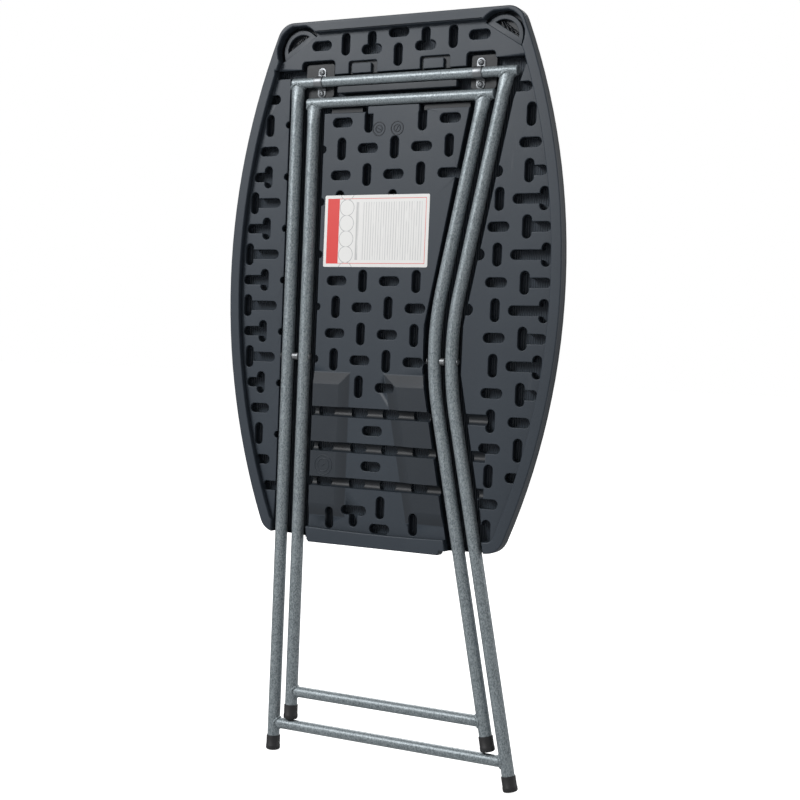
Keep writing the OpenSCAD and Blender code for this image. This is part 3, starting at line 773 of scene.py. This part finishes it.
def makeWelds(kind):
    # At a bar the loop is the crushed leg's oval laid on the bar's underside. At a crossbar it is
    # the crossbar's round laid on the leg's side.
    t = np.linspace(0, 2 * math.pi, tubes["beadSteps"], endpoint=False)
    barZ = (bars[kind][0][0].z + bars[kind][0][1].z) / 2
    crossZ = (bars[kind][1][0].z + bars[kind][1][1].z) / 2
    loops = []
    for side, inward in (("left", 1), ("right", -1)):
        y = legRadius * tubes["flareDeep"] * np.sin(t)
        z = barZ - np.sqrt(np.maximum(barRadius ** 2 - y ** 2, 0))
        x, lean = legAxis(kind, side, z)
        x = x + legRadius * tubes["flareWide"] * np.cos(t) / np.cos(lean)
        loops.append(loopTube(np.stack([x, faceY + y, z], axis=1), len(loops)))
        y, z = crossRadius * np.sin(t), crossZ + crossRadius * np.cos(t)
        x, lean = legAxis(kind, side, z)
        x = x + inward * np.sqrt(np.maximum(legRadius ** 2 - y ** 2, 0)) / np.cos(lean)
        loops.append(loopTube(np.stack([x, faceY + y, z], axis=1), len(loops)))
    smooth(addPiece(kind + "Welds", *joinMeshes(loops), kind + "_frame", "tube_paint"), 60)


cap = {"radius": 0.0093, "edge": 0.0025, "height": 0.019, "sole": 0.0058, "waist": 0.00895,
       "lip": 0.0008, "well": 0.004, "sides": 48}


def makeFoot(kind, side):
    # profile turned round the leg's axis: flat sole, rounded edge, a proud sole band, a body a
    # little slimmer, a rounded lip, and down inside to the tube
    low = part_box(f"{kind}_{side}_foot")[0]
    lean = math.radians(tubes["leanDown"]) if side == "right" else 0.0
    e, r, h, lip = cap["edge"], cap["radius"], cap["height"], cap["lip"]
    sole, waist, well = cap["sole"], cap["waist"], cap["height"] - cap["well"]
    profile = [(0, 0), (0, (r - e) * 0.6), (0, r - e)]
    profile += [(e - e * math.cos(t), r - e + e * math.sin(t))
                for t in np.linspace(0.2, math.pi / 2, 6)]
    profile += [(sole, r), (sole + 0.0003, r - 0.0001), (sole + 0.0006, waist)]
    profile += [(h - lip + lip * math.sin(t), waist - lip + lip * math.cos(t))
                for t in np.linspace(0, math.pi / 2, 5)]
    profile += [(h - 0.0005, legRadius - 0.0001), (well, legRadius - 0.0004), (well, 0)]
    z = low.z + (r - e) * math.sin(lean) + e * (1 - math.cos(lean))
    mesh = latheMesh(profile, (float(legAxis(kind, side, z)[0]), faceY, z),
                     (-math.sin(lean), 0, math.cos(lean)),
                     (math.cos(lean), 0, math.sin(lean)), cap["sides"])
    smooth(addPiece(f"{kind}{side.capitalize()}Foot", *mesh, kind + "_frame", "foot_plastic",
                    [f"{kind}_{side}_foot"]))


for kind in tubes["bends"]:
    makeBars(kind)
    makeWelds(kind)
    for side in ("left", "right"):
        makeLeg(kind, side)
        makeFoot(kind, side)
print("frames: legs, bars, welds and feet made")


# The saddle straps over the outer bar, and their screws
hinge = {
    "gap": 0.00008, "sheet": 0.0012, "wide": 0.0115, "reach": 0.0136, "bend": 0.0012,
    "corner": 0.00032, "round": 24,
    "headRadius": 0.0038, "headHigh": 0.0024, "sideHigh": 0.0009, "domePower": 3.2,
    "armLength": 0.0021, "armHalf": 0.00048, "recess": 0.0013, "tilt": 0.5, "sides": 64,
}


def strapPath():
    # the strap's middle line as (z, y) from the bar's axis. Half of it: flat foot from its round
    # end, quarter turn, straight side, quarter of the arch. The other half mirrors it.
    sheet, b = hinge["sheet"], hinge["bend"]
    arch = barRadius + hinge["gap"] + sheet / 2
    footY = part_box("strap_left")[1].y - faceY - sheet / 2
    end = hinge["reach"] + hinge["wide"] / 2
    u = 1 - np.cos(np.linspace(0, math.pi / 2, 12))
    foot = [(-end + k * hinge["wide"] / 2, footY) for k in u]
    foot += [(-(arch + b) - 0.0004, footY)]
    turn = [(-arch - b + b * math.sin(k), footY - b + b * math.cos(k))
            for k in np.linspace(0, math.pi / 2, 7)]
    side = [(-arch, footY - b - k * (footY - b)) for k in (0.5, 1.0)]
    top = [(-arch * math.cos(k), -arch * math.sin(k)) for k in np.linspace(0.12, math.pi / 2, 14)]
    half = np.array(foot + turn + side + top)
    return np.concatenate([half, half[:-1][::-1] * [-1, 1]])


def makeStrap(nodeName, pieceName):
    # section = a thin rectangle with rounded corners, square to the middle line. Its half width
    # follows a half circle at both ends of the line. Returns the middle and the foot's front.
    low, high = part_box(nodeName)
    x, barZ = (low.x + high.x) / 2, (low.z + high.z) / 2
    line = strapPath()
    run = np.concatenate([[0], np.cumsum(np.linalg.norm(np.diff(line, axis=0), axis=1))])
    fromEnd = np.minimum(run, run[-1] - run)
    half, thick, around = hinge["wide"] / 2, hinge["sheet"] / 2, hinge["round"]
    width = np.sqrt(np.maximum(half ** 2 - np.maximum(half - fromEnd, 0) ** 2, 0))[:, None]
    along = np.gradient(line, axis=0)
    along /= np.linalg.norm(along, axis=1)[:, None]
    c = np.minimum(hinge["corner"], width * 0.9 + 1e-6)
    turn = (np.arange(around) + 0.5) / around * 2 * math.pi
    cosT, sinT = np.cos(turn)[None], np.sin(turn)[None]
    across = np.sign(cosT) * (width - c) + cosT * c
    lift = np.sign(sinT) * (thick - c) + sinT * c
    zs = barZ + line[:, :1] + lift * along[:, 1:]
    ys = faceY + line[:, 1:] - lift * along[:, :1]
    verts = np.stack([x + across, ys, zs], axis=-1).reshape(-1, 3)
    smooth(addPiece(pieceName, verts, closedRows(len(line), around), "top", "zinc", [nodeName]))
    return x, barZ, high.y - hinge["sheet"]


def screwMesh(x, y, z):
    # a pan head on a polar grid. The cross recess is the ring where the radius is the lesser of
    # the arm's length and armHalf / |sin|, folded into each quarter.
    turn = np.linspace(0, 2 * math.pi, hinge["sides"], endpoint=False)
    fold = np.abs(np.sin((turn + math.pi / 4) % (math.pi / 2) - math.pi / 4))
    cross = np.minimum(hinge["armLength"], hinge["armHalf"] / np.maximum(fold, 1e-6))
    none = 0 * cross
    high, rim, deep = hinge["headHigh"], hinge["headRadius"], hinge["recess"]

    def dome(r):
        return high - (high - hinge["sideHigh"]) * (r / rim) ** hinge["domePower"]
    rows = [(share * cross, high - part * deep + none)
            for share, part in ((0, 1), (0.5, 0.95), (0.9, 0.8))]
    for share in (0, *np.linspace(0.12, 1, 9)):
        r = cross + (rim - cross) * share
        rows.append((r, dome(r)))
    rows += [(rim + none, none), (none, none)]
    tilt = turn + hinge["tilt"]
    grid = [np.stack([x + r * np.cos(tilt), y - h, z + r * np.sin(tilt)], axis=-1)
            for r, h in rows]
    return np.concatenate(grid), gridFaces(len(rows), hinge["sides"])


for side in ("left", "right"):
    x, z, y = makeStrap("strap_" + side, side + "Strap")
    pair = [screwMesh(x, y, z + s * hinge["reach"]) for s in (-1, 1)]
    smooth(addPiece(side + "StrapScrews", *joinMeshes(pair), "top", "zinc",
                    ["strap_screws_" + side]), 38)

rivet = {"headRadius": 0.0046, "headHigh": 0.0022, "rimHigh": 0.0003, "shank": 0.003,
         "edge": 0.0004, "hole": 0.0031, "sides": 40}


def pivotLathe(side, profile):
    # profile: rows of (x, radius), turned round the rivet's axis
    low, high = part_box("pivot_rivet_" + side)
    base = (0, faceY, (low.z + high.z) / 2)
    return latheMesh(profile, base, (1, 0, 0), (0, 0, 1), rivet["sides"])


def makeRivet(side):
    # profile along X: domed head, shank, domed head. The dome is an arc over the head's chord.
    low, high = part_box("pivot_rivet_" + side)
    headRadius, headHigh = rivet["headRadius"], rivet["headHigh"]
    dome = headHigh - rivet["rimHigh"]
    ball = (headRadius ** 2 + dome ** 2) / (2 * dome)
    head = [(ball - ball * math.cos(t), ball * math.sin(t))
            for t in np.linspace(0, math.asin(headRadius / ball), 9)]
    head += [(headHigh, headRadius), (headHigh, rivet["shank"])]
    profile = [(low.x + h, r) for h, r in head] + [(high.x - h, r) for h, r in reversed(head)]
    smooth(addPiece(side + "Rivet", *pivotLathe(side, profile), "outer_frame", "rivet_steel",
                    ["pivot_rivet_" + side]))


def makeSpacer(side):
    # a short ring on the rivet's shank with eased edges, its profile closed round the wall
    low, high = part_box("pivot_spacer_" + side)
    r, e, hole = (high.z - low.z) / 2, rivet["edge"], rivet["hole"]
    profile = [(low.x, hole), (low.x, r - e), (low.x + e, r), (high.x - e, r), (high.x, r - e),
               (high.x, hole), (low.x, hole)]
    smooth(addPiece(side + "Spacer", *pivotLathe(side, profile), "outer_frame", "rivet_steel",
                    ["pivot_spacer_" + side]), 30)


for side in ("left", "right"):
    makeRivet(side)
    makeSpacer(side)
print("straps, screws, rivets and spacers made")

film = {"corner": 0.0022, "edge": 0.00012, "sides": 64}


def makeLabel():
    # a rounded rectangle: its outline at the back, the same outline at the front drawn in a
    # hair, and a flat face
    low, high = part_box("care_label")
    corner, edge, sides = film["corner"], film["edge"], film["sides"]
    turn = (np.arange(sides) + 0.5) / sides * 2 * math.pi
    mid = np.array([(low.x + high.x) / 2, (low.z + high.z) / 2])
    half = np.array([(high.x - low.x) / 2, (high.z - low.z) / 2])
    way = np.stack([np.cos(turn), np.sin(turn)], axis=1)
    outline = np.sign(way) * (half - corner) + way * corner
    rows = []
    for inset, y in ((0, high.y), (0, low.y + edge), (edge, low.y)):
        flat = mid + outline * (1 - inset / half)
        rows.append(np.stack([flat[:, 0], np.full(sides, y), flat[:, 1]], axis=1))
    smooth(addPiece("careLabel", np.concatenate(rows), closedRows(len(rows), sides), "top",
                    "label", ["care_label"]), 30)


makeLabel()
print("label made")
